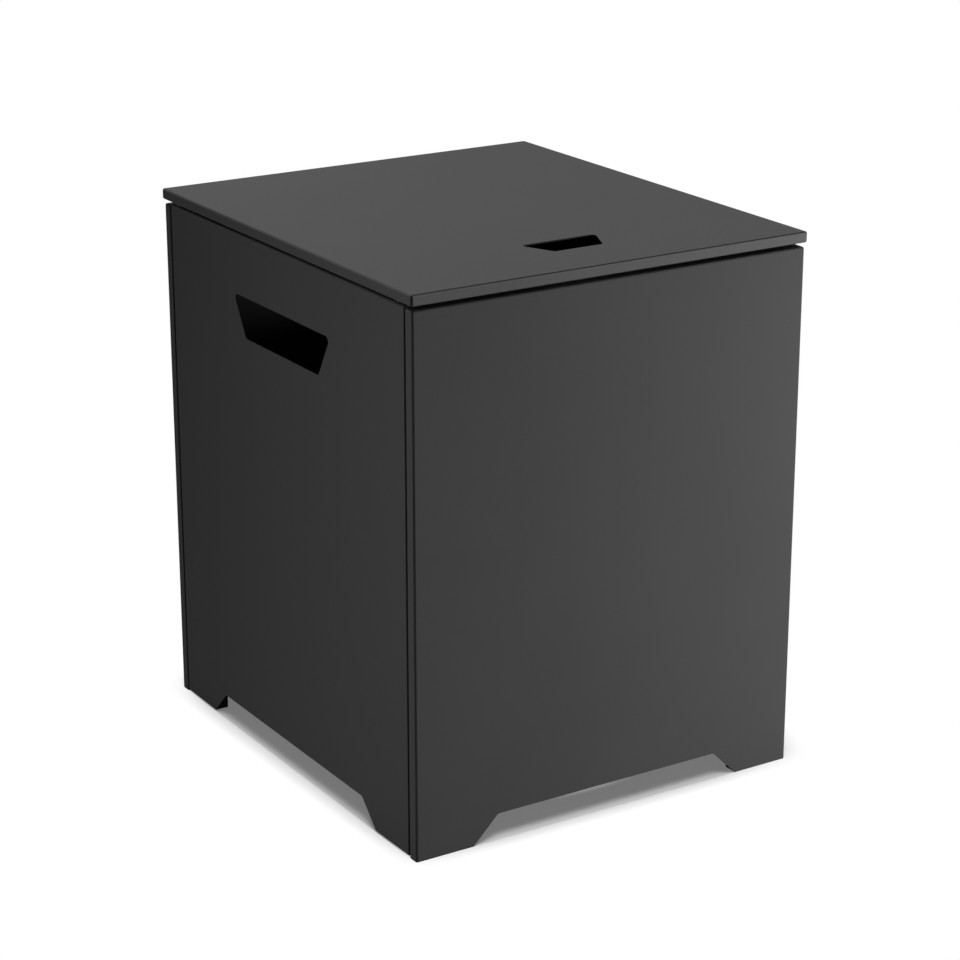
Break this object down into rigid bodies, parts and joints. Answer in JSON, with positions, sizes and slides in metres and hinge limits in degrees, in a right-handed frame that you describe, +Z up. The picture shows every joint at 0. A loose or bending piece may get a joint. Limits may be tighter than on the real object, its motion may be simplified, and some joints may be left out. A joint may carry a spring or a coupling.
{
  "type": "propane tank cover table",
  "caption": "Sheet steel box that hides a gas bottle and serves as a side table, with a lift-off lid, hand slots and arched feet.",
  "frame": {"origin": "on the floor, under the middle of the lid", "axes": "+X right along the front panel, +Y to the back, +Z up; the front panel faces -Y"},
  "size_m": [0.4064, 0.4572, 0.508],
  "materials": {
    "body_coat": "satin",
    "lid_coat": "satin",
    "inner_coat": "satin",
    "zinc_fasteners": "zinc plated",
    "weld_nuts": "zinc plated",
    "bumper_rubber": "matt"
  },
  "bodies": {
    "cabinet": {"back_panel": "body_coat", "end_foot_channel_back_left": "inner_coat", "end_foot_channel_back_right": "inner_coat", "end_foot_channel_front_left": "inner_coat", "end_foot_channel_front_right": "inner_coat", "front_panel": "body_coat", "left_side_panel": "body_coat", "right_side_panel": "body_coat", "seam_nuts_back_left": "weld_nuts", "seam_nuts_back_right": "weld_nuts", "seam_nuts_front_left": "weld_nuts", "seam_nuts_front_right": "weld_nuts", "seam_screws_back_left": "zinc_fasteners", "seam_screws_back_right": "zinc_fasteners", "seam_screws_front_left": "zinc_fasteners", "seam_screws_front_right": "zinc_fasteners", "seam_washers_back_left": "zinc_fasteners", "seam_washers_back_right": "zinc_fasteners", "seam_washers_front_left": "zinc_fasteners", "seam_washers_front_right": "zinc_fasteners", "side_foot_channel_back_left": "inner_coat", "side_foot_channel_back_right": "inner_coat", "side_foot_channel_front_left": "inner_coat", "side_foot_channel_front_right": "inner_coat"},
    "lid": {"lid_bumper_back_left": "bumper_rubber", "lid_bumper_back_right": "bumper_rubber", "lid_bumper_front_left": "bumper_rubber", "lid_bumper_front_right": "bumper_rubber", "lid_panel": "lid_coat", "lid_stiffener_left": "inner_coat", "lid_stiffener_right": "inner_coat"}
  },
  "joints": [
    {"name": "lid_lift", "type": "slide", "parent": "cabinet", "child": "lid", "axis": [0, 0, 1], "range_m": [0, 0.12]}
  ]
}
